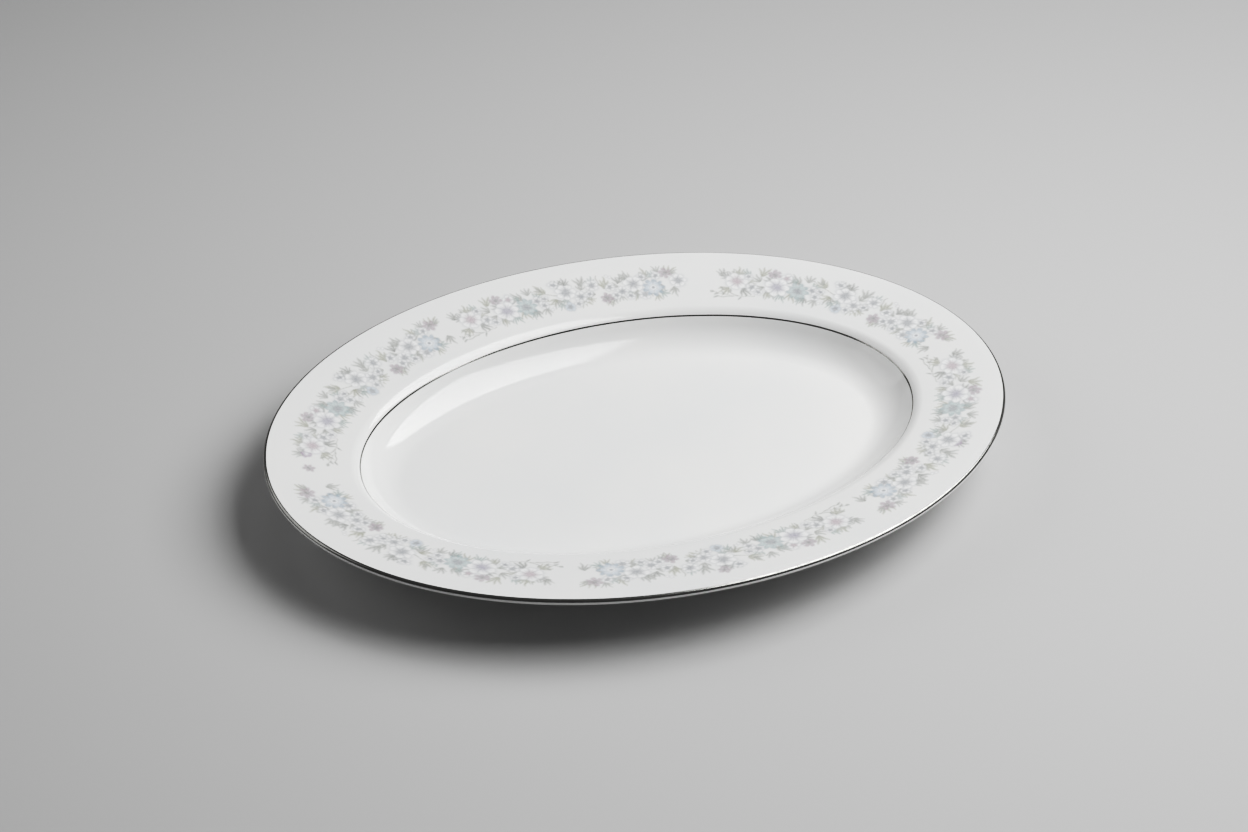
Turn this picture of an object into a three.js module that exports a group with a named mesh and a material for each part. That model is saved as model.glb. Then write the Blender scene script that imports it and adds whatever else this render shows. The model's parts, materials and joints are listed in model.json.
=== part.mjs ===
// Oval china serving platter: a porcelain body, the glaze fired over it, two platinum lines,
// six floral transfer sprays round the rim and a small backstamp under the base.
// Units are millimetres, +Z is up and X is the long axis. The foot ring rests on z = 0.
import * as THREE from "three";

// ---------- driving dimensions ----------
const LENGTH = 356; // glazed platter, end to end
const WIDTH = 255;
const HEIGHT = 30; // table to the top of the lip
const RIM_SLOPE = 10.6; // degrees that the rim falls towards the well
const VERGE_INSET = 41.5; // where the planes of rim and well wall meet, in from the edge
const WALL_SLOPE = 55; // degrees that the well wall falls
const FLOOR_HEIGHT = 8; // top of the well floor
const RECESS_HEIGHT = 3.6; // underside inside the foot ring
const LIP_RADIUS = 1.45;
const LIP_THICKNESS = 3.05;
const VERGE_RADIUS = 8;
const COVE_RADIUS = 21; // between the well wall and the floor
const UNDER_RIM_SLOPE = 13; // a little steeper than the rim, so the rim thickens inwards
const UNDER_VERGE_INSET = 38;
const UNDER_VERGE_RADIUS = 14;
const UNDER_COVE_INSET = 51.5; // the outer hollow over the foot ring
const UNDER_COVE_HEIGHT = 4.3;
const UNDER_COVE_RADIUS = 6;
const FOOT_INSET = 55.8; // outside of the foot ring where it stands
const FOOT_WIDTH = 3.6;
const FOOT_FLARE = 1; // each side of the foot leans out by this much as it rises
const FOOT_RADIUS = 0.9;
const SHOULDER_HEIGHT = 3.9; // where the foot ring meets the underside
const SHOULDER_RADIUS = 1.5;
const GLAZE = 0.3; // thickness of the glaze coat
const METAL = 0.15; // thickness of the platinum lines
const FILM = 0.2; // thickness of a transfer
const FILM_GAP = 0.1; // between a transfer and the faceted glaze under it
const SEGMENTS = 56; // round the oval
const VERGE_STEPS = 9;
const VERGE_LINE_FROM = 0; // the verge line covers one step of the verge's curve, counted from the wall
const EDGE_LINE_FROM = 1; // the edge line starts at this step of the lip's upper curve
const FLAT_INSET = 66; // from here to the centre, floor and recess are flat

// The sprays lie on an oval halfway across the rim. `along` runs counterclockwise on that oval from
// the +X end, and `across` runs out from it towards the edge.
const SPRAY_INSET = 22.3;
// Where each spray starts, and how far it is stretched.
const SPRAYS = [[0, 1], [137.2, 0.99], [265.8, 1.045], [406.7, 1.04], [545.5, 1.065], [685.1, 1.105]];
const SPRAY_STATIONS = 28;
const SPRAY_MARGIN = 1.2; // film left round the flowers
const SPRAY_END_HALF = 1; // half the film's width at its two ends
// The big shapes of one spray that set the outline of its film: [along, across, radius].
const SPRAY_MASSES = [
  [7, 6.5, 4.5],
  [15, -2.7, 7.5],
  [18, 7, 4.5],
  [26, 0.5, 7],
  [30, -6, 4],
  [33, 5, 4],
  [42, -5.5, 5],
  [43, 4, 5],
  [52, -2, 6.5],
  [61, 3, 8],
  [62, -6, 5],
  [70, -1, 5],
  [77, -1.5, 4.5],
  [84, -1.8, 7.5],
  [92, 6, 5.5],
  [95, -1.5, 8],
  [105, 1, 4.5],
  [115, 1, 8],
  [114, -7, 3],
  [121, 3, 4.5],
  [124, -6.5, 2.5],
];
const BACKSTAMP_LENGTH = 26;
const BACKSTAMP_WIDTH = 18;

const HALF_LENGTH = LENGTH / 2;
const HALF_WIDTH = WIDTH / 2;
const radians = THREE.MathUtils.degToRad;

// ---------- the half section ----------
// The section is drawn in (inset, height): inset is the distance in from the platter's edge.
const rimRise = LIP_RADIUS * (Math.tan(radians(RIM_SLOPE)) + 1 / Math.cos(radians(RIM_SLOPE)) - 1);
const rimHeight = (inset) => HEIGHT + rimRise - inset * Math.tan(radians(RIM_SLOPE));
const underRimHeight = (inset) => rimHeight(0) - LIP_THICKNESS - inset * Math.tan(radians(UNDER_RIM_SLOPE));
const vergeHeight = rimHeight(VERGE_INSET);
const underVergeHeight = underRimHeight(UNDER_VERGE_INSET);
const footInner = FOOT_INSET + FOOT_WIDTH;
const wallFoot = VERGE_INSET + (vergeHeight - FLOOR_HEIGHT) / Math.tan(radians(WALL_SLOPE));

const corner = (name, inset, height, radius = 0, steps = 0) => ({ name, inset, height, radius, steps });

// Corners of the section from the middle of the floor, over the rim and back along the underside.
const corners = [
  corner("floorCentre", HALF_LENGTH, FLOOR_HEIGHT),
  corner("floorEdge", FLAT_INSET, FLOOR_HEIGHT),
  corner("cove", wallFoot, FLOOR_HEIGHT, COVE_RADIUS, 4),
  corner("verge", VERGE_INSET, vergeHeight, VERGE_RADIUS, VERGE_STEPS),
  corner("lipTop", 0, rimHeight(0), LIP_RADIUS, 3),
  corner("lipBottom", 0, underRimHeight(0), LIP_RADIUS, 2),
  corner("underVerge", UNDER_VERGE_INSET, underVergeHeight, UNDER_VERGE_RADIUS, 3),
  corner("underCove", UNDER_COVE_INSET, UNDER_COVE_HEIGHT, UNDER_COVE_RADIUS, 2),
  corner("shoulder", FOOT_INSET - FOOT_FLARE, SHOULDER_HEIGHT, SHOULDER_RADIUS, 2),
  corner("footOuter", FOOT_INSET, 0, FOOT_RADIUS, 2),
  corner("footInner", footInner, 0, FOOT_RADIUS, 2),
  corner("recessCorner", footInner + FOOT_FLARE, RECESS_HEIGHT, SHOULDER_RADIUS, 2),
  corner("recessEdge", FLAT_INSET, RECESS_HEIGHT),
  corner("recessCentre", HALF_LENGTH, RECESS_HEIGHT),
];

/** The stations of one corner, rounded if it has a radius. Each holds its outward normal. */
function roundCorner(corner, before, after) {
  const here = new THREE.Vector2(corner.inset, corner.height);
  const back = new THREE.Vector2(before.inset, before.height).sub(here).normalize();
  const ahead = new THREE.Vector2(after.inset, after.height).sub(here).normalize();
  const normalIn = new THREE.Vector2(-back.y, back.x);
  if (!corner.radius) return [{ point: here, normal: normalIn, corner }];
  const normalOut = new THREE.Vector2(ahead.y, -ahead.x);
  const halfAngle = Math.acos(back.dot(ahead)) / 2;
  const bisector = back.clone().add(ahead).normalize();
  const centre = here.clone().addScaledVector(bisector, corner.radius / Math.sin(halfAngle));
  const bulge = normalIn.dot(bisector) < 0 ? 1 : -1; // 1 on a convex corner, -1 in a hollow one
  const turn = normalIn.angleTo(normalOut) * bulge;
  return Array.from({ length: corner.steps + 1 }, (_, i) => {
    const normal = normalIn.clone().rotateAround(new THREE.Vector2(), (turn * i) / corner.steps);
    return { point: centre.clone().addScaledVector(normal, corner.radius * bulge), normal, corner };
  });
}

const stations = corners.flatMap((corner, i) => {
  const before = corners[i - 1] ?? { inset: corner.inset + 1, height: corner.height };
  const after = corners[i + 1] ?? { inset: corner.inset + 1, height: corner.height };
  return roundCorner(corner, before, after);
});

/** A station moved out along its normal, or in where the distance is negative. */
const lifted = (station, distance) => station.point.clone().addScaledVector(station.normal, distance);

/** The foot was wiped clean of glaze where it turns down to the table. */
function isBare(station) {
  return station.corner.name.startsWith("foot") && station.normal.y < -0.5;
}

/** The porcelain under a station's glaze. The bare foot is narrower by the glaze, and still reaches z = 0. */
function underGlaze(station) {
  const under = lifted(station, -GLAZE);
  if (isBare(station)) under.y = station.point.y;
  return under;
}

const firstBare = stations.findIndex(isBare);
const lastBare = stations.findLastIndex(isBare);
const stationsOf = (name) => stations.filter((s) => s.corner.name === name);

// ---------- sweeping and placing ----------

/** A point of the section carried round the oval to `angle`. The flat middle shrinks to the centre. */
function onOval(inset, height, angle) {
  const ringInset = Math.min(inset, FLAT_INSET);
  const shrink = (HALF_LENGTH - inset) / (HALF_LENGTH - ringInset);
  return new THREE.Vector3(
    (HALF_LENGTH - ringInset) * shrink * Math.cos(angle),
    (HALF_WIDTH - ringInset) * shrink * Math.sin(angle),
    height,
  );
}

/** Sweeps section points round the oval. Each facet pair is split across its shorter diagonal. */
function sweepOval(section) {
  const count = section.length;
  const points = [];
  for (let ring = 0; ring < SEGMENTS; ring++) {
    const angle = (ring / SEGMENTS) * 2 * Math.PI;
    points.push(...section.map((p) => onOval(p.x, p.y, angle)));
  }
  const faces = [];
  for (let ring = 0; ring < SEGMENTS; ring++) {
    for (let i = 0; i < count - 1; i++) {
      const a = ring * count + i;
      const b = a + 1;
      const c = ((ring + 1) % SEGMENTS) * count + i;
      const d = c + 1;
      const across = points[a].distanceTo(points[d]) < points[b].distanceTo(points[c]);
      faces.push(...(across ? [a, b, d, a, d, c] : [a, b, c, b, d, c]));
    }
  }
  const geometry = new THREE.BufferGeometry().setFromPoints(points);
  geometry.setIndex(faces);
  geometry.computeVertexNormals();
  return geometry;
}

const sprayOval = new THREE.EllipseCurve(0, 0, HALF_LENGTH - SPRAY_INSET, HALF_WIDTH - SPRAY_INSET);
sprayOval.arcLengthDivisions = 720;

/** How far in from the edge a point over the rim lies. */
function insetAt(x, y) {
  let near = 0;
  let far = FLAT_INSET;
  for (let i = 0; i < 40; i++) {
    const middle = (near + far) / 2;
    const outside = Math.hypot(x / (HALF_LENGTH - middle), y / (HALF_WIDTH - middle)) > 1;
    if (outside) far = middle;
    else near = middle;
  }
  return (near + far) / 2;
}

/** A point of a spray on the rim: `along` and `across` the rim, and `lift` above the glaze. */
function onRim(along, across, lift) {
  const share = THREE.MathUtils.euclideanModulo(along / sprayOval.getLength(), 1);
  const foot = sprayOval.getPointAt(share);
  const tangent = sprayOval.getTangentAt(share);
  const x = foot.x + across * tangent.y;
  const y = foot.y - across * tangent.x;
  return new THREE.Vector3(x, y, rimHeight(insetAt(x, y)) + lift);
}

/** The film's edge at `along`, on side 1 (towards the lip) or -1 (towards the well). */
function filmEdge(along, side) {
  const reaches = SPRAY_MASSES.map(([at, across, radius]) => {
    const reach = radius + SPRAY_MARGIN;
    const inside = reach ** 2 - (along - at) ** 2;
    return inside > 0 ? across * side + Math.sqrt(inside) : -Infinity;
  });
  return side * Math.max(SPRAY_END_HALF, ...reaches);
}

/** One transfer: a thin box bent along the rim, its sides following the flowers. */
function sprayFilm(start, stretch) {
  const [first] = SPRAY_MASSES;
  const last = SPRAY_MASSES.at(-1);
  const from = first[0] - first[2];
  const to = last[0] + last[2] + SPRAY_MARGIN;
  const geometry = new THREE.BoxGeometry(1, 1, 1, SPRAY_STATIONS, 1, 1);
  const position = geometry.getAttribute("position");
  for (let i = 0; i < position.count; i++) {
    const along = THREE.MathUtils.lerp(from, to, position.getX(i) + 0.5);
    const across = filmEdge(along, position.getY(i) < 0 ? 1 : -1);
    const lift = FILM_GAP + (position.getZ(i) > 0 ? FILM : 0);
    const placed = onRim(start + along * stretch, across, lift);
    position.setXYZ(i, placed.x, placed.y, placed.z);
  }
  geometry.computeVertexNormals();
  return geometry;
}

// ---------- materials ----------
const material = (color, roughness, metalness = 0) =>
  new THREE.MeshStandardMaterial({ color, roughness, metalness });
const bisque = material(0xe9e4da, 0.75);
const glaze = material(0xf1f1ef, 0.08);
const platinum = material(0xc9cacc, 0.15, 1);
const pigment = material(0xc3cacb, 0.3);
const stampPigment = material(0x8f9aa0, 0.4);

// ---------- the parts ----------

function porcelainBody() {
  return new THREE.Mesh(sweepOval(stations.map(underGlaze)), bisque);
}

/** Glaze from the middle of the floor over the rim and down the outside of the foot. */
function glazeCoat() {
  const run = stations.slice(0, firstBare);
  const outside = run.map((s) => s.point);
  const inside = run.map(underGlaze).reverse();
  return new THREE.Mesh(sweepOval([...outside, ...inside]), glaze);
}

/** Glaze in the recess that the bare foot ring closes off. */
function baseGlaze() {
  const run = stations.slice(lastBare + 1);
  const outside = run.map((s) => s.point);
  const inside = run.map(underGlaze).reverse();
  return new THREE.Mesh(sweepOval([...inside, ...outside]), glaze);
}

/** A platinum line lying on a run of glazed stations. */
function platinumLine(run) {
  const outside = run.map((s) => lifted(s, METAL));
  const inside = run.map((s) => s.point).reverse();
  return new THREE.Mesh(sweepOval([...outside, ...inside, outside[0]]), platinum);
}

function backstamp() {
  const sides = 24;
  const disc = new THREE.CylinderGeometry(BACKSTAMP_WIDTH / 2, BACKSTAMP_WIDTH / 2, FILM, sides);
  disc.rotateX(Math.PI / 2);
  disc.scale(BACKSTAMP_LENGTH / BACKSTAMP_WIDTH, 1, 1);
  const mesh = new THREE.Mesh(disc, stampPigment);
  mesh.position.z = RECESS_HEIGHT - FILM_GAP - FILM / 2;
  return mesh;
}

// ---------- assembly ----------
const platter = new THREE.Group();

function add(name, mesh) {
  mesh.name = name;
  platter.add(mesh);
}

add("porcelain_body", porcelainBody());
add("glaze_coat", glazeCoat());
add("base_glaze", baseGlaze());
add("platinum_edge_line", platinumLine(stationsOf("lipTop").slice(EDGE_LINE_FROM)));
add("platinum_verge_line", platinumLine(stationsOf("verge").slice(VERGE_LINE_FROM, VERGE_LINE_FROM + 2)));
SPRAYS.forEach(([start, stretch], i) => {
  add(`floral_spray_${i + 1}`, new THREE.Mesh(sprayFilm(start, stretch), pigment));
});
add("backstamp", backstamp());

export default platter;
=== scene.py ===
import json
import math

import bpy
import numpy as np
from mathutils import Matrix, Vector


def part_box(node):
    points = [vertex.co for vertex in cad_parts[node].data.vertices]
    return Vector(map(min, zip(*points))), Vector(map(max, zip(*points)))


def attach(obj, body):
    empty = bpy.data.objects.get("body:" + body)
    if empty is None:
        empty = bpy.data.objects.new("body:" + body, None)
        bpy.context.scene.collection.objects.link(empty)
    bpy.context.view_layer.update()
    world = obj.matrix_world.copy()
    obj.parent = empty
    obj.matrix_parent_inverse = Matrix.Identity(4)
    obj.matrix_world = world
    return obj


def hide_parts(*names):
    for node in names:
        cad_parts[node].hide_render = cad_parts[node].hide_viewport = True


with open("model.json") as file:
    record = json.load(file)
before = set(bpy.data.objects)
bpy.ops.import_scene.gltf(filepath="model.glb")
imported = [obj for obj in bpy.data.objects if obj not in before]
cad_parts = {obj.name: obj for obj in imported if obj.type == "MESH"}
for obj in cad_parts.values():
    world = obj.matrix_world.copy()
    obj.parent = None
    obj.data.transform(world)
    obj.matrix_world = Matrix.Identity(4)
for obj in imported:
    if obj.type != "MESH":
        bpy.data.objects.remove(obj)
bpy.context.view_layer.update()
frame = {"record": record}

MM = 0.001

# ---------- driving dimensions ----------
RIM_SLOPE = math.radians(10.6)
WALL_SLOPE = math.radians(55)
UNDER_RIM_SLOPE = math.radians(13)
VERGE_INSET = 41.5
VERGE_RADIUS = 8
COVE_RADIUS = 21
LIP_RADIUS = 1.45
LIP_THICKNESS = 3.05
UNDER_VERGE_INSET = 38
UNDER_VERGE_RADIUS = 14
UNDER_COVE_INSET = 51.5
UNDER_COVE_HEIGHT = 4.3
UNDER_COVE_RADIUS = 6
RECESS_HEIGHT = 3.6
FOOT_INSET = 55.8
FOOT_WIDTH = 3.6
FOOT_FLARE = 1
FOOT_RADIUS = 0.9
SHOULDER_HEIGHT = 3.9
SHOULDER_RADIUS = 1.5
GLAZE = 0.3
WIPED_BELOW = -0.5  # the foot is bare where the height of its normal is under this
FLAT_INSET = 66  # from here to the centre, floor and recess are flat

glaze_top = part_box("glaze_coat")[1] / MM
HALF_LENGTH = glaze_top.x
HALF_WIDTH = glaze_top.y
# The CAD lip is faceted, and its highest corner stops a little short of the round lip's top.
HEIGHT = glaze_top.z + LIP_RADIUS * (1 - math.cos(RIM_SLOPE))
well_floor = next(m for m in frame["record"]["mounts"] if m["name"] == "well_floor")
FLOOR_HEIGHT = well_floor["pos_m"][2] / MM

AROUND = 480  # steps round the oval
ANGLES = np.arange(AROUND)[:, None] * (2 * math.pi / AROUND)
ARC_STEP = math.radians(3)
RUN_STEP = 6  # longest step on a straight stretch of the section
SHARP_EDGE = math.radians(50)
SAME_POINT = 0.001 * MM  # a ring of the sweep that is smaller than this is one point on the axis


# ---------- the half section ----------
# A section point is (inset, height): inset is the distance in from the platter's edge.
RIM_RISE = LIP_RADIUS * (math.tan(RIM_SLOPE) + 1 / math.cos(RIM_SLOPE) - 1)


def rim_height(inset):
    return HEIGHT + RIM_RISE - inset * math.tan(RIM_SLOPE)


def under_rim_height(inset):
    return rim_height(0) - LIP_THICKNESS - inset * math.tan(UNDER_RIM_SLOPE)


WALL_FOOT = VERGE_INSET + (rim_height(VERGE_INSET) - FLOOR_HEIGHT) / math.tan(WALL_SLOPE)

# name, inset, height and radius of each corner, from the floor over the rim to the recess underneath
CORNERS = [
    ("floor_centre", HALF_LENGTH, FLOOR_HEIGHT, 0),
    ("floor_edge", FLAT_INSET, FLOOR_HEIGHT, 0),
    ("cove", WALL_FOOT, FLOOR_HEIGHT, COVE_RADIUS),
    ("verge", VERGE_INSET, rim_height(VERGE_INSET), VERGE_RADIUS),
    ("lip_top", 0, rim_height(0), LIP_RADIUS),
    ("lip_bottom", 0, under_rim_height(0), LIP_RADIUS),
    ("under_verge", UNDER_VERGE_INSET, under_rim_height(UNDER_VERGE_INSET), UNDER_VERGE_RADIUS),
    ("under_cove", UNDER_COVE_INSET, UNDER_COVE_HEIGHT, UNDER_COVE_RADIUS),
    ("foot_shoulder", FOOT_INSET - FOOT_FLARE, SHOULDER_HEIGHT, SHOULDER_RADIUS),
    ("foot_outer", FOOT_INSET, 0, FOOT_RADIUS),
    ("foot_inner", FOOT_INSET + FOOT_WIDTH, 0, FOOT_RADIUS),
    ("recess_corner", FOOT_INSET + FOOT_WIDTH + FOOT_FLARE, RECESS_HEIGHT, SHOULDER_RADIUS),
    ("recess_edge", FLAT_INSET, RECESS_HEIGHT, 0),
    ("recess_centre", HALF_LENGTH, RECESS_HEIGHT, 0),
]


class Station:
    """A point of the section with its outward normal and the name of the corner that it belongs to."""

    def __init__(self, point, normal, corner):
        self.point = point
        self.normal = normal
        self.corner = corner

    def is_bare(self):
        """The foot was wiped clean of glaze where it turns down to the table."""
        return self.corner in ("foot_outer", "foot_inner") and self.normal.y < WIPED_BELOW

    def under_glaze(self):
        under = self.point - self.normal * GLAZE
        if self.is_bare():
            under.y = self.point.y
        return under


def turned(vector, angle):
    return Matrix.Rotation(angle, 2) @ vector


def round_corner(i):
    """The centre of corner i's arc, and its stations."""
    name, inset, height, radius = CORNERS[i]
    here = Vector((inset, height))
    before = Vector(CORNERS[i - 1][1:3]) if i else here + Vector((1, 0))
    after = Vector(CORNERS[i + 1][1:3]) if i + 1 < len(CORNERS) else here + Vector((1, 0))
    back = (before - here).normalized()
    ahead = (after - here).normalized()
    normal_in = Vector((-back.y, back.x))
    if not radius:
        return None, [Station(here, normal_in, name)]
    normal_out = Vector((ahead.y, -ahead.x))
    bisector = (back + ahead).normalized()
    centre = here + bisector * (radius / math.sin(back.angle(ahead) / 2))
    bulge = 1 if normal_in.dot(bisector) < 0 else -1  # -1 in a hollow corner
    turn = normal_in.angle(normal_out) * bulge
    steps = max(2, math.ceil(abs(turn) / ARC_STEP))
    stations = []
    for k in range(steps + 1):
        normal = turned(normal_in, turn * k / steps)
        stations.append(Station(centre + normal * (radius * bulge), normal, name))
    return centre, stations


def whole_section():
    """All stations, with the straight stretches between corners divided up."""
    stations = []
    for i in range(len(CORNERS)):
        rounded = round_corner(i)[1]
        if stations:
            start, end = stations[-1], rounded[0]
            steps = math.ceil((end.point - start.point).length / RUN_STEP)
            for k in range(1, steps):
                point = start.point.lerp(end.point, k / steps)
                stations.append(Station(point, end.normal.copy(), "run"))
        stations += rounded
    return stations


SECTION = whole_section()
FIRST_BARE = next(i for i, s in enumerate(SECTION) if s.is_bare())
LAST_BARE = max(i for i, s in enumerate(SECTION) if s.is_bare())


def arc_of(name):
    """The centre of a rounded corner's arc."""
    index = next(i for i, corner in enumerate(CORNERS) if corner[0] == name)
    return round_corner(index)[0]


# ---------- meshes ----------
def on_oval(inset, height, angle):
    """Section points carried round the oval to an angle, in metres. The flat middle shrinks to the centre."""
    ring = np.minimum(inset, FLAT_INSET)
    shrink = (HALF_LENGTH - inset) / (HALF_LENGTH - ring)
    x = (HALF_LENGTH - ring) * shrink * np.cos(angle)
    y = (HALF_WIDTH - ring) * shrink * np.sin(angle)
    return np.stack(np.broadcast_arrays(x, y, height), -1) * MM


def piece_from(name, vertices, faces, material):
    mesh = bpy.data.meshes.new(name)
    mesh.from_pydata(vertices, [], faces)
    mesh.materials.append(material)
    mesh.shade_smooth()
    piece = bpy.data.objects.new(name, mesh)
    bpy.context.collection.objects.link(piece)
    return piece


def sweep(name, section, material, loop=False):
    """Sweeps a section round the oval. section is (stations, 2), or (AROUND, stations, 2) where it varies.

    Its ends close on the axis, or on each other if it is a loop.
    """
    section = np.broadcast_to(np.array(section, float), (AROUND, *np.shape(section)[-2:]))
    points = on_oval(section[..., 0], section[..., 1], ANGLES)
    count = points.shape[1]
    vertices = []
    rings = []
    for j in range(count):
        ring = points[:, j]
        if np.ptp(ring[:, 0]) < SAME_POINT:
            ring = ring[:1]
        rings.append([len(vertices) + k % len(ring) for k in range(AROUND)])
        vertices += ring.tolist()
    if loop:
        rings.append(rings[0])
    faces = []
    for near, far in zip(rings, rings[1:]):
        for k in range(AROUND):
            after = (k + 1) % AROUND
            corners = [near[k], far[k], far[after], near[after]]
            faces.append(list(dict.fromkeys(corners)))
    piece = piece_from(name, vertices, faces, material)
    piece.data.set_sharp_from_angle(angle=SHARP_EDGE)
    return piece


# ---------- materials ----------
def linear(red, green, blue):
    """A colour given as 0 to 255 in sRGB, turned to the linear values that shaders use."""
    share = np.array([red, green, blue]) / 255
    return np.where(share <= 0.04045, share / 12.92, ((share + 0.055) / 1.055) ** 2.4)


def opaque(colour):
    return (*[float(c) for c in colour], 1)


GLAZE_SHADE = linear(236, 237, 237)
GLAZE_WHITE = linear(240, 240, 239)
GLAZE_ROUGHNESS = (0.06, 0.11)
GLAZE_SPECULAR = 0.32
GLAZE_RIPPLE = 0.012  # mm deep
BISQUE_DARK = linear(214, 207, 196)
BISQUE_PALE = linear(230, 226, 218)
BISQUE_ROUGHNESS = (0.65, 0.9)
BISQUE_GRAIN = 0.05  # mm deep
PLATINUM_WORN = linear(128, 128, 126)
PLATINUM_BRIGHT = linear(150, 150, 148)
PLATINUM_ROUGHNESS = (0.24, 0.14)
PLATINUM_METALLIC = 0.8


class Surface:
    """A material under construction: a Principled shader and short ways to add nodes before it."""

    def __init__(self, name):
        self.material = bpy.data.materials.new(name)
        self.material.use_nodes = True
        self.tree = self.material.node_tree
        self.shader = self.tree.nodes["Principled BSDF"]
        self.place = self.add("ShaderNodeTexCoord").outputs["Object"]

    def add(self, kind, inputs=(), **settings):
        made = self.tree.nodes.new(kind)
        for key, value in settings.items():
            setattr(made, key, value)
        for key, value in dict(inputs).items():
            self.feed(made.inputs[key], value)
        return made

    def feed(self, socket, value):
        if isinstance(value, bpy.types.NodeSocket):
            self.tree.links.new(value, socket)
        else:
            socket.default_value = value

    def set(self, **values):
        for key, value in values.items():
            self.feed(self.shader.inputs[key.replace("_", " ").title().replace("Ior", "IOR")], value)

    def noise(self, size_mm, detail=2.0, roughness=0.5, place=None):
        """Noise whose blotches are about size_mm across, from 0 to 1."""
        inputs = {"Scale": 1 / (size_mm * MM), "Detail": detail, "Roughness": roughness}
        made = self.add("ShaderNodeTexNoise", inputs)
        self.tree.links.new(place or self.place, made.inputs["Vector"])
        return made.outputs["Fac"]

    def ramp(self, factor, low, high, start=0.3, end=0.7):
        """A blend from colour low to colour high as factor goes from start to end."""
        made = self.add("ShaderNodeValToRGB", {"Fac": factor})
        first, last = made.color_ramp.elements
        first.position, first.color = start, opaque(low)
        last.position, last.color = end, opaque(high)
        return made.outputs["Color"]

    def span(self, factor, low, high, start=0.3, end=0.7):
        inputs = {"Value": factor, "From Min": start, "From Max": end, "To Min": low, "To Max": high}
        return self.add("ShaderNodeMapRange", inputs).outputs["Result"]

    def bump(self, height, depth_mm, strength=1.0):
        inputs = {"Height": height, "Distance": depth_mm * MM, "Strength": strength}
        self.set(Normal=self.add("ShaderNodeBump", inputs).outputs["Normal"])


def add_glaze(surface):
    """Gives a surface the platter's gloss, and returns the glaze's own colour."""
    cloud = surface.noise(70, detail=3)
    surface.set(roughness=surface.span(surface.noise(25, detail=4), *GLAZE_ROUGHNESS))
    surface.set(specular_ior_level=GLAZE_SPECULAR)
    surface.bump(surface.noise(9, detail=1), GLAZE_RIPPLE)
    return surface.ramp(cloud, GLAZE_SHADE, GLAZE_WHITE)


def glaze_material():
    surface = Surface("glossy_glaze")
    surface.set(base_color=add_glaze(surface))
    return surface.material


def bisque_material():
    surface = Surface("bisque")
    grain = surface.noise(0.4, detail=3)
    surface.set(base_color=surface.ramp(surface.noise(6, detail=4), BISQUE_DARK, BISQUE_PALE))
    surface.set(roughness=surface.span(grain, *BISQUE_ROUGHNESS))
    surface.bump(grain, BISQUE_GRAIN)
    return surface.material


def platinum_material():
    """A fired platinum line: dark polished metal with soft dull patches where it has been handled."""
    surface = Surface("platinum")
    wear = surface.noise(5, detail=5, roughness=0.65)
    surface.set(base_color=surface.ramp(wear, PLATINUM_WORN, PLATINUM_BRIGHT))
    surface.set(roughness=surface.span(wear, *PLATINUM_ROUGHNESS))
    surface.set(metallic=PLATINUM_METALLIC)
    return surface.material


PAINT = "paint"  # the vertex colour layer: colour times cover, and cover in its alpha
THIN_WASH = 0.72  # the paint's strength where it is thinnest


def transfer_material(name):
    """Fired colours in the glaze: the vertex paint over glaze white, a little uneven like watercolour."""
    surface = Surface(name)
    white = add_glaze(surface)
    paint = surface.add("ShaderNodeVertexColor", layer_name=PAINT)
    wash = surface.span(surface.noise(1.1, detail=4, roughness=0.6), THIN_WASH, 1.0, 0.35, 0.6)
    thinned = surface.add(
        "ShaderNodeVectorMath", {0: paint.outputs["Color"], "Scale": wash}, operation="SCALE"
    ).outputs["Vector"]
    cover = surface.add(
        "ShaderNodeMath", {0: paint.outputs["Alpha"], 1: wash}, operation="MULTIPLY"
    ).outputs["Value"]
    bare = surface.add("ShaderNodeMath", {0: 1.0, 1: cover}, operation="SUBTRACT").outputs["Value"]
    ground = surface.add(
        "ShaderNodeVectorMath", {0: white, "Scale": bare}, operation="SCALE"
    ).outputs["Vector"]
    mixed = surface.add("ShaderNodeVectorMath", {0: ground, 1: thinned}, operation="ADD").outputs["Vector"]
    surface.set(base_color=mixed)
    return surface.material


# ---------- painting ----------
INKS = {
    "petal": linear(250, 250, 250),
    "shade": linear(190, 193, 198),
    "outline": linear(158, 162, 166),
    "grey heart": linear(158, 161, 166),
    "lavender heart": linear(165, 162, 179),
    "pink heart": linear(190, 172, 180),
    "white heart": linear(250, 252, 254),
    "blue": linear(152, 173, 189),
    "pale blue": linear(209, 219, 228),
    "teal": linear(150, 175, 177),
    "pale teal": linear(198, 212, 212),
    "mauve": linear(172, 154, 164),
    "purple": linear(162, 140, 166),
    "grey": linear(171, 173, 169),
    "dark": linear(142, 144, 141),
    "olive": linear(179, 180, 164),
    "sea": linear(160, 177, 174),
    "stem": linear(156, 157, 150),
    "vein": linear(134, 136, 132),
    "stamp": linear(104, 122, 136),
}


def soft(distance, blur=0.4):
    """1 well inside a shape and 0 outside, where distance is counted inwards from its outline, in mm."""
    share = np.clip(distance / blur * 0.5 + 0.5, 0, 1)
    return share * share * (3 - 2 * share)


def line(distance, width):
    """1 on a line, fading to 0 on both sides of it."""
    return np.exp(-((distance / width) ** 2))


HAND_WOBBLE = 0.22  # mm
LEAF_COVER = 0.85
LEAF_BLUR = 0.6
LEAF_SLIMNESS = 0.165  # width for a length of 1
VEIN_WIDTH = 0.3
STEM_STEPS = 28
STEM_COVER = 0.75
PETAL_BLUR = 0.6
SEAM_WIDTH = 0.28  # of the grey seams between petals
PETAL_EDGE_WIDTH = 0.35
HEART_EDGE_WIDTH = 0.25


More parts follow.
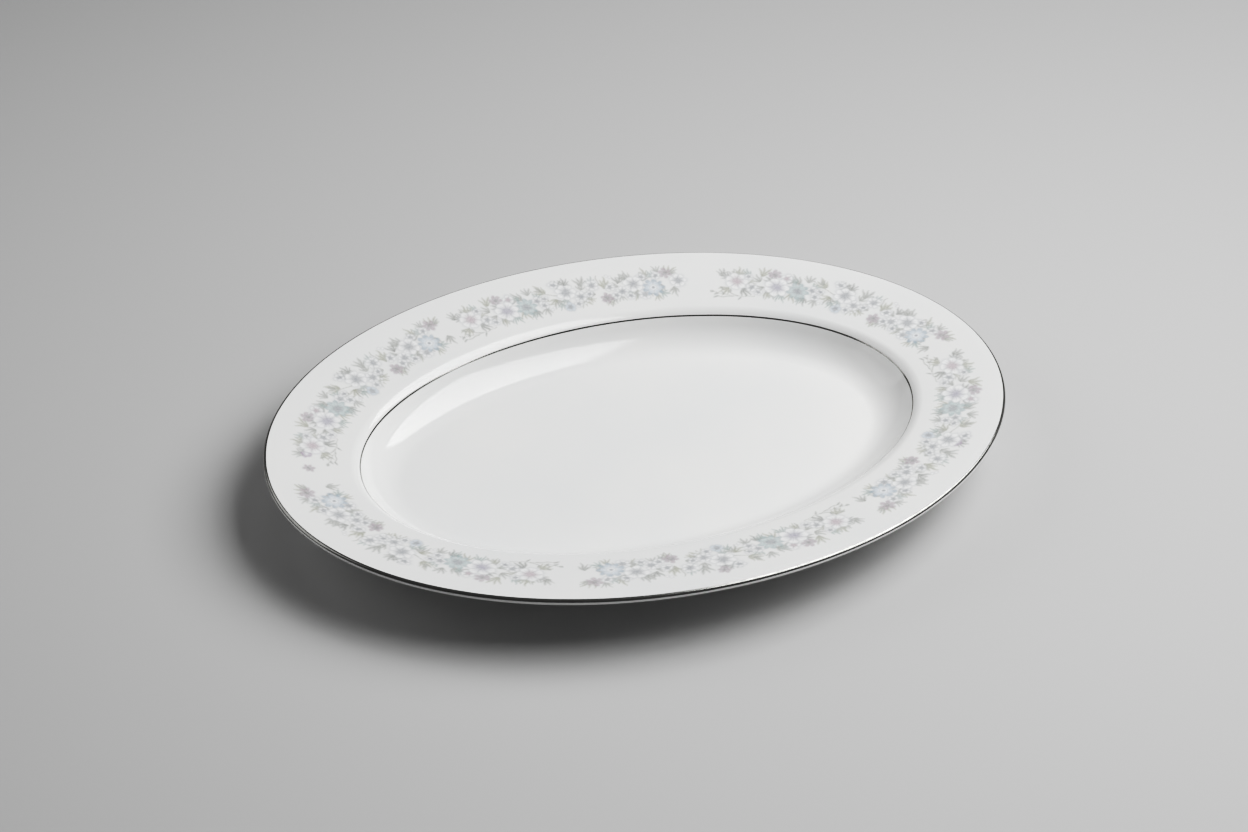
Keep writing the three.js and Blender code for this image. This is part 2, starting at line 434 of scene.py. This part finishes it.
class Canvas:
    """Points of a transfer, in mm along and across it, and the paint laid on them."""

    def __init__(self, along, across):
        # The hand that drew the artwork wasn't quite steady.
        self.along = along + HAND_WOBBLE * np.sin(across * 1.3 + along * 0.45)
        self.across = across + HAND_WOBBLE * np.sin(along * 1.15 - across * 0.5)
        self.paint = np.zeros((*along.shape, 4))

    def lay(self, cover, ink):
        cover = np.clip(cover, 0, 1)[..., None]
        self.paint = self.paint * (1 - cover) + cover * np.append(INKS[ink], 1)

    def offset(self, x, y):
        return self.along - x, self.across - y

    def disc(self, x, y, radius, ink, strength=0.9):
        dx, dy = self.offset(x, y)
        self.lay(soft(radius - np.hypot(dx, dy)) * strength, ink)

    def leaf(self, x, y, heading, length, width, ink):
        """A pointed leaf from (x, y). A heading of 0 is along the transfer, and 90 is across it."""
        dx, dy = self.offset(x, y)
        c, s = math.cos(math.radians(heading)), math.sin(math.radians(heading))
        ahead = dx * c + dy * s
        aside = dy * c - dx * s
        share = np.clip(ahead / length, 0, 1)
        half = width / 2 * np.sin(math.pi * share**0.8)
        shape = soft(half - np.abs(aside), LEAF_BLUR) * (share > 0) * (share < 1)
        self.lay(shape * LEAF_COVER, ink)
        self.lay(shape * line(aside, VEIN_WIDTH) * (0.6 - 0.5 * share), "vein")

    def fan(self, x, y, heading, count, length, ink, spread=26):
        """Leaves that spread from one point, the middle ones longest."""
        for k in range(count):
            side = k - (count - 1) / 2
            size = length * (1.12 - 0.16 * abs(side) + 0.1 * math.sin(3 * k + x))
            self.leaf(x, y, heading + side * spread, size, size * LEAF_SLIMNESS, ink)

    def stem(self, start, bend, end, ink="stem", width=0.28):
        """A thin stem on a quadratic curve."""
        nearest = np.full(self.along.shape, np.inf)
        for share in np.linspace(0, 1, STEM_STEPS):
            x, y = (
                (1 - share) ** 2 * a + 2 * share * (1 - share) * b + share**2 * c
                for a, b, c in zip(start, bend, end)
            )
            nearest = np.minimum(nearest, np.hypot(*self.offset(x, y)))
        self.lay(line(nearest, width) * STEM_COVER, ink)

    def flower(
        self, x, y, radius, petals, ink, heart,
        scallop=0.28, turn=0.4, outline=0.55, heart_size=0.42, strength=0.88,
    ):
        """An open flower: scalloped petals, streaked with grey towards a soft round heart."""
        dx, dy = self.offset(x, y)
        out = np.hypot(dx, dy)
        angle = np.arctan2(dy, dx) - turn
        wave = np.abs(np.cos(petals * angle / 2))
        edge = radius * (1 - scallop + scallop * wave**0.5)
        shape = soft(edge - out, PETAL_BLUR)
        self.lay(soft(edge + PETAL_BLUR - out, 2 * PETAL_BLUR) * outline * 0.6, "shade")
        self.lay(shape * strength, ink)
        seam = line(out * wave * 2 / petals, SEAM_WIDTH) * shape
        self.lay(np.maximum(line(out - edge, PETAL_EDGE_WIDTH) * 0.4, seam) * outline, "outline")
        streaks = 0.5 + 0.5 * np.cos(petals * 3 * angle)
        self.lay(soft(radius * 0.68 - out, radius * 0.4) * streaks * 0.5, "shade")
        self.lay(soft(radius * heart_size - out, radius * 0.35) * 0.8, heart)
        self.lay(line(out - radius * heart_size * 0.8, HEART_EDGE_WIDTH) * 0.25, "dark")

    def daisy(self, x, y, radius, heart="grey heart"):
        self.flower(x, y, radius, 7, "petal", heart)

    def blossom(self, x, y, radius, heart="grey heart"):
        self.flower(x, y, radius, 5, "petal", heart, outline=0.6)

    def mauve(self, x, y, radius):
        self.flower(x, y, radius, 6, "mauve", "dark", scallop=0.6, outline=0.25, heart_size=0.2, strength=0.7)

    def bloom(self, x, y, radius, ink, pale, heart):
        """A fuller flower: ragged outer petals, a paler ring of inner ones and a light heart."""
        self.flower(x, y, radius, 9, ink, heart, scallop=0.5, outline=0.3, strength=0.7)
        self.flower(x, y, radius * 0.74, 6, pale, heart, turn=1.1, outline=0.4, heart_size=0.5)
        self.disc(x, y, radius * 0.13, "grey heart")


# Leaves of one spray: along, across, heading, leaves in the fan, length and ink.
SPRAY_FANS = [
    (5.5, 6.5, 150, 3, 4.6, "grey"),
    (11, 8, 70, 4, 4.6, "grey"),
    (17.5, 5.5, 75, 3, 5.5, "olive"),
    (12, -5.5, 215, 4, 5.6, "sea"),
    (14, -7, 262, 3, 5.0, "olive"),
    (28.5, 4, 62, 3, 5.2, "grey"),
    (25, -4.5, 252, 4, 5.0, "grey"),
    (32.5, -5.5, 290, 4, 4.6, "grey"),
    (33, 0.5, 25, 3, 4.4, "grey"),
    (41, 0, 100, 3, 5.2, "olive"),
    (40, -7.5, 270, 3, 4.4, "olive"),
    (46, -3, 20, 3, 4.4, "grey"),
    (53.5, 1.5, 112, 4, 4.8, "grey"),
    (51, -5, 215, 3, 4.0, "olive"),
    (60, 6.5, 92, 5, 5.2, "dark"),
    (65.5, -4.5, 285, 4, 4.8, "sea"),
    (67, -1.5, 335, 3, 5.4, "olive"),
    (71.5, -1, 30, 3, 4.6, "olive"),
    (73, 5.5, 60, 3, 4.0, "grey"),
    (80.5, 5.5, 98, 5, 5.0, "grey"),
    (83, -6, 258, 4, 4.6, "sea"),
    (86, 3, 62, 3, 5.0, "sea"),
    (92.5, -5.5, 252, 3, 5.0, "sea"),
    (98.5, -5, 292, 3, 4.8, "olive"),
    (103.5, 1.5, 50, 4, 5.4, "grey"),
    (101.5, -2, 340, 3, 4.6, "grey"),
    (114, 5, 88, 5, 5.6, "olive"),
    (119, 3, 38, 4, 5.2, "dark"),
    (109.5, 0, 150, 3, 4.0, "olive"),
]

# Curved stems: start, bend and end.
SPRAY_STEMS = [
    ((42.5, 9.5), (44, 5.5), (40.5, 0.5)),
    ((41, 3.5), (48, 1), (55, -2)),
    ((62, -3), (70, -5.5), (78, -2)),
    ((66, 1), (72, 3), (78, 7)),
    ((100, -3), (106, -1), (112, 1)),
    ((106, -8.6), (117, -10.6), (127.5, -6.6)),
    ((115, -9.4), (119, -6.6), (122.5, -4.8)),
    ((117.5, -9.3), (122, -10.4), (125.5, -9.8)),
]

TENDRIL_LEAF = (3.0, 1.0)  # length and width
# Where they grow: along, across and heading.
TENDRIL_LEAVES = [
    (110, -9.2, 60),
    (113, -9.6, 300),
    (119, -7.0, 100),
    (122, -5.0, 40),
    (122, -8.6, 60),
    (125, -7.4, 330),
    (127, -6.8, 20),
    (125, -9.8, 350),
]

# Flowers of one spray, in the order they are painted: kind, along, across and radius, and any heart.
SPRAY_FLOWERS = [
    ("mauve", 7.5, 7, 3.6),
    ("blossom", 12.5, 5.4, 2.4),
    ("blossom", 20, 5.6, 2.2),
    ("daisy", 20.5, -6.6, 3.4),
    ("blue bloom", 15, -2.5, 5.9),
    ("daisy", 25, 1, 5.4),
    ("daisy", 31.8, -3.2, 3.4),
    ("blossom", 28, -6.8, 2.3),
    ("blossom", 37.5, 0.6, 2.6),
    ("blossom", 35.5, -5.4, 2.4),
    ("mauve", 41, -6.3, 3.6),
    ("daisy", 46.5, 3.6, 3.6),
    ("daisy", 54.5, -2.6, 3.6),
    ("blossom", 49.5, -1.8, 2.1),
    ("blossom", 65.5, 8.4, 2.5),
    ("daisy", 61, 2, 5.4),
    ("blue", 62.3, -8, 3.0),
    ("blossom", 57, -7, 2.2),
    ("blossom", 75, -3.6, 2.3),
    ("blossom", 77.5, 0.4, 2.9),
    ("blossom", 73.5, 0.8, 1.9),
    ("teal bloom", 84.5, -1.8, 5.8),
    ("mauve", 97, 7.6, 3.4),
    ("blossom", 91, 6, 3.0, "pink heart"),
    ("daisy", 95.3, -1, 6.4, "lavender heart"),
    ("blossom", 104.5, -5.6, 2.2),
    ("blossom", 108, -2.7, 2.9),
    ("daisy", 115.5, 1, 5.8, "pink heart"),
    ("blossom", 109.5, 4.6, 2.0),
]

BERRIES = [(52, -6.2), (53.6, -7.4), (54.6, -5.8), (70.5, -6.4), (72, -7.6), (36, 7.5), (37.4, 8.8)]

# Each transfer: where it starts along the rim's middle, how far it is stretched, where its film is cut
# at both ends, and what else it has. The oval is walked counterclockwise from its +X end.
SPRAYS = [
    (0, 0.994, (0.5, 130), []),
    (142.6, 0.96, (-8, 128.2), [("daisy", 1.5, 1.5, 4.5)]),
    (265.8, 0.994, (0.5, 137), [("purple", 122, 3.2, 2.4), ("mauve", 132, 2.3, 2.6)]),
    (406.7, 1.038, (0.5, 130), [("daisy", 49.5, -1.8, 4.2)]),
    (545.5, 1.063, (0.5, 130), [("mauve", 58.5, 10, 2.8)]),
    (685.1, 1.103, (0.5, 128.5), [("purple", 60, 6.5, 2.6)]),
]


def paint_flower(canvas, kind, x, y, radius, heart="grey heart"):
    if kind == "daisy":
        canvas.daisy(x, y, radius, heart)
    elif kind == "blossom":
        canvas.blossom(x, y, radius, heart)
    elif kind == "mauve":
        canvas.mauve(x, y, radius)
    elif kind == "purple":
        canvas.flower(x, y, radius, 5, "purple", "white heart", outline=0.2)
    elif kind == "blue":
        canvas.flower(x, y, radius, 5, "pale blue", "grey heart")
    elif kind == "blue bloom":
        canvas.bloom(x, y, radius, "blue", "pale blue", "white heart")
    elif kind == "teal bloom":
        canvas.bloom(x, y, radius, "teal", "pale teal", "grey heart")


FADING = 0.95  # the colours have sunk into the glaze
LEAF_INKS = ("grey", "olive", "grey", "sea", "dark")
FOLIAGE_FANS = 38
FOLIAGE_START = 4
FOLIAGE_STEP = 3.2  # mm from one fan to the next
BERRY_RADIUS = 0.6
BERRY_EDGE_RADIUS = 0.85


def paint_foliage(canvas):
    """Fine leaves along both sides of a spray, in clusters that turn and lean by turns."""
    for k in range(FOLIAGE_FANS):
        x = FOLIAGE_START + FOLIAGE_STEP * k
        side = 1 if k % 2 else -1
        y = side * (3.4 + 1.6 * math.sin(2.1 * k)) + 1.4 * math.sin(0.13 * x)
        heading = side * (85 + 42 * math.sin(1.7 * k))
        length = 6.2 + math.sin(1.3 * k)
        canvas.fan(x, y, heading, 4, length, LEAF_INKS[k % len(LEAF_INKS)], spread=24)


def paint_spray(canvas, extras):
    for start, bend, end in SPRAY_STEMS:
        canvas.stem(start, bend, end)
    paint_foliage(canvas)
    for fan in SPRAY_FANS:
        canvas.fan(*fan)
    for x, y, heading in TENDRIL_LEAVES:
        canvas.leaf(x, y, heading, *TENDRIL_LEAF, "grey")
    for x, y in BERRIES:
        canvas.disc(x, y, BERRY_EDGE_RADIUS, "outline", 0.5)
        canvas.disc(x, y, BERRY_RADIUS, "petal")
    for flower in [*extras, *SPRAY_FLOWERS]:
        paint_flower(canvas, *flower)
    canvas.paint *= FADING


WREATH = (8.2, 5.6)  # the wreath's half length and half width
WREATH_LEAVES = 18
WREATH_LEAF = (2.4, 0.9)  # length and width
WREATH_LEAN = 62
SPRIG_LEAF = (2.8, 1.0)
SPRIG_LEAVES = [(-2.2, 25), (-1.2, 152), (0, 30), (0.6, 148)]  # how high each starts, and its heading
BLOSSOM_DOTS = 5
BLOSSOM_HEIGHT = 3
BLOSSOM_RING = 0.9
DOT_RADIUS = 0.55


def paint_backstamp(canvas):
    """A plain sprig in a wreath of leaves, with no lettering."""
    for k in range(WREATH_LEAVES):
        angle = k * 360 / WREATH_LEAVES
        x = WREATH[0] * math.cos(math.radians(angle))
        y = WREATH[1] * math.sin(math.radians(angle))
        canvas.leaf(x, y, angle + WREATH_LEAN, *WREATH_LEAF, "stamp")
    canvas.stem((0, -3.4), (0.8, 0), (0, 2.2), "stamp")
    for y, heading in SPRIG_LEAVES:
        canvas.leaf(0.3, y, heading, *SPRIG_LEAF, "stamp")
    for k in range(BLOSSOM_DOTS):
        turn = k * 2 * math.pi / BLOSSOM_DOTS
        x, y = math.cos(turn) * BLOSSOM_RING, math.sin(turn) * BLOSSOM_RING
        canvas.disc(x, BLOSSOM_HEIGHT + y, DOT_RADIUS, "stamp")


# ---------- transfers ----------
SPRAY_INSET = 22.3  # the sprays' middle line, in from the edge
SPRAY_HALF = 14.5
CELL = 0.4  # a transfer's mesh is this fine, in mm
FILM_RISE = 0.04  # a transfer lies this far above the glaze,
FILM_SINK = 0.03  # and its border this far under it
FILM_BORDER = 1.6
FILM_DEPTH = 0.08
OVAL_STEPS = 4096
HALVINGS = 30


def mid_rim(along):
    """Points on the oval along the middle of the rim, and its outward direction there."""
    a, b = HALF_LENGTH - SPRAY_INSET, HALF_WIDTH - SPRAY_INSET
    turn = np.linspace(0, 2 * math.pi, OVAL_STEPS + 1)
    x, y = a * np.cos(turn), b * np.sin(turn)
    length = np.concatenate([[0], np.cumsum(np.hypot(np.diff(x), np.diff(y)))])
    angle = np.interp(np.mod(along, length[-1]), length, turn)
    outward = np.stack([b * np.cos(angle), a * np.sin(angle)], -1)
    outward /= np.linalg.norm(outward, axis=-1, keepdims=True)
    return np.stack([a * np.cos(angle), b * np.sin(angle)], -1), outward


def inset_at(x, y):
    """How far in from the edge points over the rim lie."""
    near, far = np.zeros_like(x), np.full_like(x, FLAT_INSET)
    for _ in range(HALVINGS):
        middle = (near + far) / 2
        outside = np.hypot(x / (HALF_LENGTH - middle), y / (HALF_WIDTH - middle)) > 1
        near, far = np.where(outside, near, middle), np.where(outside, middle, far)
    return (near + far) / 2


def on_rim(along, across, lift):
    """Points above the rim's glaze, and the rim's normals there."""
    foot, outward = mid_rim(along)
    x = foot[..., 0] + outward[..., 0] * across
    y = foot[..., 1] + outward[..., 1] * across
    inset = inset_at(x, y)
    a, b = HALF_LENGTH - inset, HALF_WIDTH - inset
    steepness = math.tan(RIM_SLOPE) / (x**2 / a**3 + y**2 / b**3)
    normal = np.stack([-steepness * x / a**2, -steepness * y / b**2, np.ones_like(x)], -1)
    normal /= np.linalg.norm(normal, axis=-1, keepdims=True)
    ground = np.stack([x, y, rim_height(inset)], -1)
    return ground + normal * lift[..., None], normal


def film_lift(along, across):
    """A transfer's height above the glaze: level, and just sunk into the glaze along its border."""
    low, high = along.min(), along.max()
    side = across.max() - np.abs(across)
    to_border = np.minimum(np.minimum(along - low, high - along), side)
    share = np.clip(to_border / FILM_BORDER, 0, 1)
    return (FILM_RISE + FILM_SINK) * share * share * (3 - 2 * share) - FILM_SINK


def film(name, points, normals, paint, material):
    """A thin closed sheet with a painted top of rows by columns, given in mm."""
    # Taken from the last row to the first, so that the painted side faces along the normals.
    points, normals, paint = points[::-1], normals[::-1], paint[::-1]
    rows, columns = points.shape[:2]
    edges = points[:, [0, -1]] - normals[:, [0, -1]] * FILM_DEPTH
    vertices = np.concatenate([points.reshape(-1, 3), edges.reshape(-1, 3)]) * MM
    first_edge = rows * columns
    faces = []
    for i in range(rows - 1):
        here, after = i * columns, (i + 1) * columns
        for j in range(columns - 1):
            faces.append((here + j, after + j, after + j + 1, here + j + 1))
    top_faces = len(faces)
    for i in range(rows - 1):
        here, after = i * columns, (i + 1) * columns
        low, low_after = first_edge + 2 * i, first_edge + 2 * (i + 1)
        faces.append((after, here, low, low_after))
        faces.append((here + columns - 1, after + columns - 1, low_after + 1, low + 1))
        faces.append((low, low + 1, low_after + 1, low_after))
    last = (rows - 1) * columns
    low, low_last = first_edge, first_edge + 2 * (rows - 1)
    faces.append((*range(columns), low + 1, low))
    faces.append((*range(last + columns - 1, last - 1, -1), low_last, low_last + 1))
    piece = piece_from(name, vertices.tolist(), faces, material)
    mesh = piece.data
    layer = mesh.color_attributes.new(PAINT, "FLOAT_COLOR", "POINT")
    colours = np.zeros((len(vertices), 4))
    colours[:first_edge] = paint.reshape(-1, 4)
    layer.data.foreach_set("color", colours.ravel())
    flat_normals = normals.reshape(-1, 3)
    custom = []
    for polygon in mesh.polygons:
        on_top = polygon.index < top_faces
        custom += [flat_normals[v] if on_top else polygon.normal for v in polygon.vertices]
    mesh.normals_split_custom_set(custom)
    return piece


def grid(from_x, to_x, half_y):
    along = np.linspace(from_x, to_x, round((to_x - from_x) / CELL) + 1)
    across = np.linspace(-half_y, half_y, round(2 * half_y / CELL) + 1)
    return np.meshgrid(along, across, indexing="ij")


def spray(number, start, stretch, cut, extras):
    along, across = grid(*cut, SPRAY_HALF)
    canvas = Canvas(along, across)
    paint_spray(canvas, extras)
    points, normals = on_rim(start + along * stretch, across, film_lift(along, across))
    material = transfer_material(f"transfer_{number}")
    return film(f"flower_spray_{number}", points, normals, canvas.paint, material)


STAMP_HALF_LENGTH = 12.5
STAMP_HALF_WIDTH = 8.5


def backstamp():
    along, across = grid(-STAMP_HALF_LENGTH, STAMP_HALF_LENGTH, STAMP_HALF_WIDTH)
    canvas = Canvas(along, across)
    paint_backstamp(canvas)
    height = RECESS_HEIGHT - film_lift(along, across)
    points = np.stack([along, across, height], -1)
    normals = np.broadcast_to([0.0, 0.0, -1.0], points.shape)
    material = transfer_material("backstamp_ink")
    return film("backstamp_print", points, normals, canvas.paint, material)


# ---------- platinum lines ----------
LINE_PROUD = 0.012
LINE_SUNK = 0.03
LINE_EDGE = 0.01  # the share of a line's width in which its edge rises
LINE_STEPS = 9
START_WAVES = (7, 19, 43, 89)  # waves round the oval in a line's one edge,
END_WAVES = (9, 23, 37, 97)  # and in its other edge
# On the verge the surface slopes down inwards, and on the lip outwards.
SLOPE_SIDE = {"verge": 1, "lip_top": -1}
# Each line's start and end slopes in degrees, and how far they waver.
EDGE_LINE = (6, 75, 1.5)
VERGE_LINE = (49.7, 55.3, 0.2)


def waves(counts, shift):
    return sum(np.sin(ANGLES * turns + turns * shift) / (i + 1) for i, turns in enumerate(counts))


def platinum_line(name, corner, radius, material, start, end, unsteady):
    """A line of platinum on a rounded corner, between two slopes. Its edges waver as a hand does."""
    centre = arc_of(corner)
    share = np.concatenate([[0], np.linspace(LINE_EDGE, 1 - LINE_EDGE, LINE_STEPS), [1]])[None, :]
    start = start + waves(START_WAVES, 1) * unsteady
    end = end + waves(END_WAVES, 2) * unsteady
    slope = np.radians(start + (end - start) * share)
    lift = np.where((share > 0) & (share < 1), LINE_PROUD, -LINE_SUNK)
    shape = []
    for slopes, reach in ((slope, radius + lift), (slope[:, ::-1], radius - 2 * LINE_SUNK)):
        inset = centre.x + np.sin(slopes) * reach * SLOPE_SIDE[corner]
        height = centre.y + np.cos(slopes) * reach
        shape.append(np.stack([inset, height], -1))
    section = np.concatenate(shape, 1)
    if SLOPE_SIDE[corner] < 0:
        return sweep(name, section, material, loop=True)
    return sweep(name, section[:, ::-1], material, loop=True)


# ---------- the platter ----------
def points_of(stations):
    return [tuple(s.point) for s in stations]


def glaze_section(run):
    return points_of(run), [tuple(s.under_glaze()) for s in reversed(run)]


def make_platter():
    glaze = glaze_material()
    platinum = platinum_material()
    bisque = bisque_material()
    made = {}

    body = [tuple(s.under_glaze()) for s in SECTION]
    made["porcelain_body"] = sweep("porcelain", body, bisque), "bisque"

    outside, inside = glaze_section(SECTION[:FIRST_BARE])
    made["glaze_coat"] = sweep("glaze", outside + inside, glaze), "glaze"

    outside, inside = glaze_section(SECTION[LAST_BARE + 1 :])
    made["base_glaze"] = sweep("recess_glaze", inside + outside, glaze), "glaze"

    edge = platinum_line("platinum_edge", "lip_top", LIP_RADIUS, platinum, *EDGE_LINE)
    made["platinum_edge_line"] = edge, "platinum"
    verge = platinum_line("platinum_verge", "verge", VERGE_RADIUS, platinum, *VERGE_LINE)
    made["platinum_verge_line"] = verge, "platinum"

    for number, details in enumerate(SPRAYS, 1):
        made[f"floral_spray_{number}"] = spray(number, *details), "transfer"
    made["backstamp"] = backstamp(), "backstamp"

    for node, (piece, slot) in made.items():
        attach(piece, "root")
        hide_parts(node)


# ---------- the studio ----------
VIEW_AZIMUTH = math.radians(-25.41)
VIEW_ELEVATION = math.radians(36.43)
VIEW_ROLL = math.radians(2.84)
VIEW_DISTANCE = 1.1945
VIEW_AIM = Vector((-0.0105, -0.001, HEIGHT * MM))
LENS = 75  # mm, on a 36 mm wide sensor


def direction(azimuth, elevation):
    """From the platter towards a place at this azimuth and elevation."""
    flat = math.cos(elevation)
    return Vector((math.sin(azimuth) * flat, -math.cos(azimuth) * flat, math.sin(elevation)))


def make_camera():
    camera = bpy.data.objects.new("camera", bpy.data.cameras.new("camera"))
    camera.data.lens = LENS
    back = direction(VIEW_AZIMUTH, VIEW_ELEVATION)
    upright = back.to_track_quat("Z", "Y").to_matrix()
    rolled = upright @ Matrix.Rotation(VIEW_ROLL, 3, "Z")
    camera.matrix_world = Matrix.Translation(VIEW_AIM + back * VIEW_DISTANCE) @ rolled.to_4x4()
    bpy.context.collection.objects.link(camera)
    bpy.context.scene.camera = camera


FLOOR_REACH = 3.0
FLOOR_COLOUR = linear(195, 195, 195)
PAINTED_LIGHT_CENTRE = (0.08, -0.055, 0)  # the floor's colour is painted brightest here, a painted pool of light, and dims to painted shade away from it
PAINTED_LIGHT_BRIGHT = 1.02
PAINTED_LIGHT_DIM = 0.6
PAINTED_LIGHT_REACH = 1.0  # the painted light is at its dimmest this far from there
FLOOR_ROUGHNESS = (0.6, 0.75)
FLOOR_SPECULAR = 0.2


def floor_material():
    """Pale paper whose colour carries a painted pool of light: brightest near one point, dimming to painted
    shade away from it. From below it is clear, so that it doesn't hide the platter's base or its light.
    """
    surface = Surface("floor")
    grain = surface.noise(1.5, detail=3)
    # Painted light: the paper's colour is brightest near one point and darker with distance from it, a
    # painted pool of light and painted shade.
    to_painted_light = surface.add("ShaderNodeVectorMath", {0: surface.place, 1: PAINTED_LIGHT_CENTRE}, operation="DISTANCE")
    bright, dim = FLOOR_COLOUR * PAINTED_LIGHT_BRIGHT, FLOOR_COLOUR * PAINTED_LIGHT_DIM
    paper_and_painted_light = surface.ramp(to_painted_light.outputs["Value"], bright, dim, 0.0, PAINTED_LIGHT_REACH)
    surface.tree.nodes["Color Ramp"].color_ramp.interpolation = "EASE"
    surface.set(base_color=paper_and_painted_light)
    surface.set(roughness=surface.span(grain, *FLOOR_ROUGHNESS))
    surface.set(specular_ior_level=FLOOR_SPECULAR)
    clear = surface.add("ShaderNodeBsdfTransparent").outputs["BSDF"]
    below = surface.add("ShaderNodeNewGeometry").outputs["Backfacing"]
    shadow = surface.add("ShaderNodeLightPath").outputs["Is Shadow Ray"]
    seen_through = surface.add("ShaderNodeMath", {0: below, 1: shadow}, operation="MAXIMUM").outputs["Value"]
    mix = surface.add("ShaderNodeMixShader", {0: seen_through, 1: surface.shader.outputs["BSDF"], 2: clear})
    output = surface.tree.nodes["Material Output"]
    surface.feed(output.inputs["Surface"], mix.outputs["Shader"])
    return surface.material


def make_floor():
    corners = [(x * FLOOR_REACH, y * FLOOR_REACH, 0) for x, y in ((-1, -1), (1, -1), (1, 1), (-1, 1))]
    floor = piece_from("floor", corners, [(0, 1, 2, 3)], floor_material())


# Name, side, elevation, distance, width, height and power: degrees, metres and watts.
SOFTBOXES = [
    ("key", 105, 52, 1.5, 1.33, 1.16, 25.0),
    ("left_fill", 262, 29, 1.5, 1.4, 1.1, 5.5),
    ("back", 200, 60, 1.5, 0.6, 0.6, 0.8),
]
WORLD_LIGHT = 0.044
BASE_LIGHT_SIZE = (0.2, 0.1)
BASE_LIGHT_DEPTH = 0.03  # under the floor
BASE_LIGHT_SPREAD = math.radians(40)
BASE_LIGHT_POWER = 0.02


def softbox(name, side, elevation, distance, width, height, power):
    """An area light aimed at the platter. side is degrees round from the camera, counted to its right."""
    light = bpy.data.lights.new(name, "AREA")
    light.shape = "RECTANGLE"
    light.size = width
    light.size_y = height
    light.energy = power
    back = direction(VIEW_AZIMUTH + math.radians(side), math.radians(elevation))
    lamp = bpy.data.objects.new(name, light)
    aimed = back.to_track_quat("Z", "Y").to_matrix().to_4x4()
    lamp.matrix_world = Matrix.Translation(back * distance) @ aimed
    bpy.context.collection.objects.link(lamp)


def base_light():
    """A low light under the floor, kept to the recess, so that the base can be seen from below."""
    light = bpy.data.lights.new("base_light", "AREA")
    light.shape = "ELLIPSE"
    light.size, light.size_y = BASE_LIGHT_SIZE
    light.spread = BASE_LIGHT_SPREAD
    light.energy = BASE_LIGHT_POWER
    lamp = bpy.data.objects.new("base_light", light)
    lamp.matrix_world = Matrix.Translation((0, 0, -BASE_LIGHT_DEPTH)) @ Matrix.Rotation(math.pi, 4, "X")
    bpy.context.collection.objects.link(lamp)


def make_lights():
    for light in SOFTBOXES:
        softbox(*light)
    base_light()
    world = bpy.data.worlds.new("studio")
    world.use_nodes = True
    world.node_tree.nodes["Background"].inputs["Color"].default_value = (*[WORLD_LIGHT] * 3, 1)
    bpy.context.scene.world = world


# Points of the tone curve, from the shadows to the whites: before and after.
TONE = [(0.1, 0.07), (0.2, 0.195), (0.35, 0.42), (0.5, 0.565), (0.72, 0.725), (1.0, 0.93)]
COMBINED_CURVE = 3  # after the red, green and blue ones


def set_tone():
    """The plain view transform with a gentle photographic tone curve: deeper shadows and softer whites."""
    settings = bpy.context.scene.view_settings
    settings.view_transform = "Standard"
    settings.use_curve_mapping = True
    mapping = settings.curve_mapping
    mapping.extend = "EXTRAPOLATED"
    curve = mapping.curves[COMBINED_CURVE]
    curve.points[-1].location = TONE[-1]
    for point in TONE[:-1]:
        curve.points.new(*point)
    mapping.update()


make_camera()
make_platter()
make_floor()
make_lights()
set_tone()
